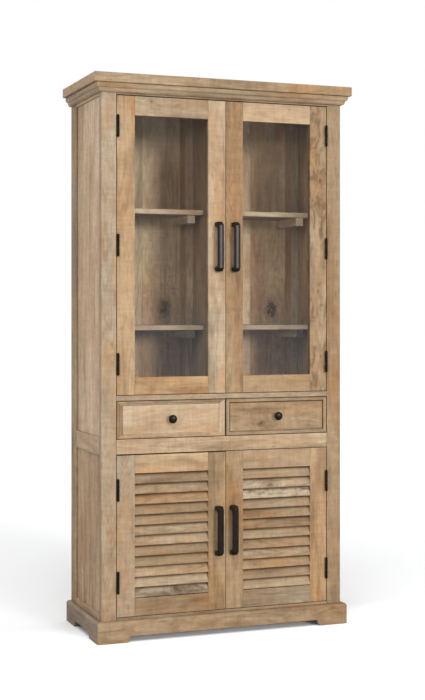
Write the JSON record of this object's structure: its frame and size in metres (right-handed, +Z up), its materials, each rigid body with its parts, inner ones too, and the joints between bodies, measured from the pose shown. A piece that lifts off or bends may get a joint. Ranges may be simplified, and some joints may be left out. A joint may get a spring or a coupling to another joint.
{
  "type": "pantry cabinet",
  "caption": "Tall wooden pantry cabinet with a glazed double cupboard above, drawers side by side and a louvred double cupboard below, on bracket feet.",
  "frame": {"origin": "at floor level, in the middle of the footprint of the cornice", "axes": "+X to the cabinet's right seen from the front, +Y to its back, +Z up; the doors face -Y"},
  "size_m": [0.995, 0.435, 2],
  "materials": {
    "front_wood": "light brown mango wood, brushed and waxed, satin",
    "side_wood": "light brown mango wood, brushed and waxed, satin",
    "inner_wood": "unwaxed mango wood, matt",
    "black_metal": "black lacquered iron, satin",
    "clear_glass": "clear float glass, 4 mm"
  },
  "bodies": {
    "carcass": {"back_panel": "inner_wood", "bottom_board": "inner_wood", "bottom_face_rail": "front_wood", "crown_moulding": "front_wood", "cupboard_shelf": "inner_wood", "drawer_divider": "inner_wood", "drawer_face_rail": "front_wood", "drawer_floor": "inner_wood", "front_left_post": "front_wood", "front_right_post": "front_wood", "high_left_shelf": "inner_wood", "high_right_shelf": "inner_wood", "left_bottom_side_rail": "side_wood", "left_middle_side_rail": "side_wood", "left_top_side_rail": "side_wood", "low_left_shelf": "inner_wood", "low_right_shelf": "inner_wood", "lower_left_side_panel": "side_wood", "lower_right_side_panel": "side_wood", "plinth_skirt": "front_wood", "rear_left_post": "side_wood", "rear_right_post": "side_wood", "right_bottom_side_rail": "side_wood", "right_middle_side_rail": "side_wood", "right_top_side_rail": "side_wood", "top_board": "front_wood", "top_face_rail": "front_wood", "upper_floor": "inner_wood", "upper_left_side_panel": "side_wood", "upper_partition": "inner_wood", "upper_right_side_panel": "side_wood", "waist_face_rail": "front_wood"},
    "upper_left_door": {"upper_left_door_frame": "front_wood", "upper_left_glass": "clear_glass", "upper_left_hinge_bottom": "black_metal", "upper_left_hinge_middle": "black_metal", "upper_left_hinge_top": "black_metal", "upper_left_pull": "black_metal"},
    "upper_right_door": {"upper_right_door_frame": "front_wood", "upper_right_glass": "clear_glass", "upper_right_hinge_bottom": "black_metal", "upper_right_hinge_middle": "black_metal", "upper_right_hinge_top": "black_metal", "upper_right_pull": "black_metal"},
    "lower_left_door": {"lower_left_door_frame": "front_wood", "lower_left_hinge_bottom": "black_metal", "lower_left_hinge_top": "black_metal", "lower_left_louvre": "front_wood", "lower_left_pull": "black_metal"},
    "lower_right_door": {"lower_right_door_frame": "front_wood", "lower_right_hinge_bottom": "black_metal", "lower_right_hinge_top": "black_metal", "lower_right_louvre": "front_wood", "lower_right_pull": "black_metal"},
    "left_drawer": {"left_drawer_box": "inner_wood", "left_drawer_front": "front_wood", "left_drawer_knob": "black_metal"},
    "right_drawer": {"right_drawer_box": "inner_wood", "right_drawer_front": "front_wood", "right_drawer_knob": "black_metal"}
  },
  "joints": [
    {"name": "upper_left_door_swing", "type": "hinge", "parent": "carcass", "child": "upper_left_door", "pos_m": [-0.404, -0.192, 1.39775], "axis": [0, 0, -1], "range_deg": [0, 165]},
    {"name": "upper_right_door_swing", "type": "hinge", "parent": "carcass", "child": "upper_right_door", "pos_m": [0.404, -0.192, 1.39775], "axis": [0, 0, 1], "range_deg": [0, 165]},
    {"name": "lower_left_door_swing", "type": "hinge", "parent": "carcass", "child": "lower_left_door", "pos_m": [-0.404, -0.192, 0.37225], "axis": [0, 0, -1], "range_deg": [0, 165]},
    {"name": "lower_right_door_swing", "type": "hinge", "parent": "carcass", "child": "lower_right_door", "pos_m": [0.404, -0.192, 0.37225], "axis": [0, 0, 1], "range_deg": [0, 165]},
    {"name": "left_drawer_slide", "type": "slide", "parent": "carcass", "child": "left_drawer", "axis": [0, -1, 0], "range_m": [0, 0.27]},
    {"name": "right_drawer_slide", "type": "slide", "parent": "carcass", "child": "right_drawer", "axis": [0, -1, 0], "range_m": [0, 0.27]}
  ]
}
